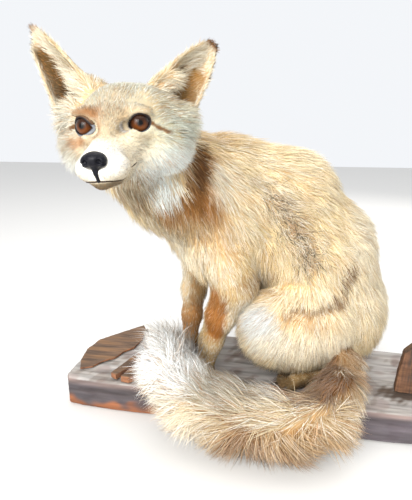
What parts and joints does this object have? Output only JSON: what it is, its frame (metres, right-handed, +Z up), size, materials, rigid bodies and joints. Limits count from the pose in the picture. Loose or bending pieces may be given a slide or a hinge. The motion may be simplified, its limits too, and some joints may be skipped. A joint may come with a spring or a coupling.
{
  "type": "taxidermy fox on a wooden slab",
  "caption": "Life-size taxidermy red fox sitting side on, head turned to the viewer, brush draped round its feet, on a rough wooden slab with bark.",
  "frame": {"origin": "centre of the slab's flat underside, on the surface that it stands on", "axes": "+X along the slab, from the end by the forefeet to the end behind the rump; +Y from the slab's front, which the turned head and the brush overhang, to its back; +Z up"},
  "size_m": [0.53, 0.3975, 0.4859],
  "materials": {
    "body_coat": "long golden tan fur with rust on the back and cream on the flank",
    "face_coat": "short cream and pale gold fur, white on the muzzle",
    "ear_coat": "short cream fur, golden brown inside and dark at the tip",
    "leg_coat": "short rust and golden fur",
    "tail_coat": "long tan brush with dark streaks",
    "tail_tip_coat": "long white fur",
    "nose_leather": "black, moist looking",
    "eye_glass": "amber brown glass eye with a dark pupil",
    "claw_horn": "dark horn",
    "slab_wood": "rough weathered board, grey top and dark purple brown edge",
    "bark": "split bark, brown with orange edges"
  },
  "bodies": {
    "root": {"eye_left": "eye_glass", "eye_right": "eye_glass", "nose": "nose_leather", "fore_left_claw_1": "claw_horn", "fore_left_claw_2": "claw_horn", "fore_left_claw_3": "claw_horn", "fore_left_claw_4": "claw_horn", "fore_right_claw_1": "claw_horn", "fore_right_claw_2": "claw_horn", "fore_right_claw_3": "claw_horn", "fore_right_claw_4": "claw_horn", "hind_left_claw_1": "claw_horn", "hind_left_claw_2": "claw_horn", "hind_left_claw_3": "claw_horn", "hind_left_claw_4": "claw_horn", "hind_right_claw_1": "claw_horn", "hind_right_claw_2": "claw_horn", "hind_right_claw_3": "claw_horn", "hind_right_claw_4": "claw_horn", "ear_left": "ear_coat", "ear_right": "ear_coat", "head": "face_coat", "hind_left_paw": "leg_coat", "hind_right_paw": "leg_coat", "fore_left_paw": "leg_coat", "fore_left_leg": "leg_coat", "fore_right_paw": "leg_coat", "fore_right_leg": "leg_coat", "haunch_left": "body_coat", "haunch_right": "body_coat", "tail_tip": "tail_tip_coat", "tail_middle": "tail_coat", "tail_root": "tail_coat", "neck": "body_coat", "trunk": "body_coat", "base_slab": "slab_wood", "base_bark_sheet": "bark", "base_splinter_long": "bark", "base_splinter_short": "bark", "base_bark_shard": "bark"}
  },
  "joints": []
}
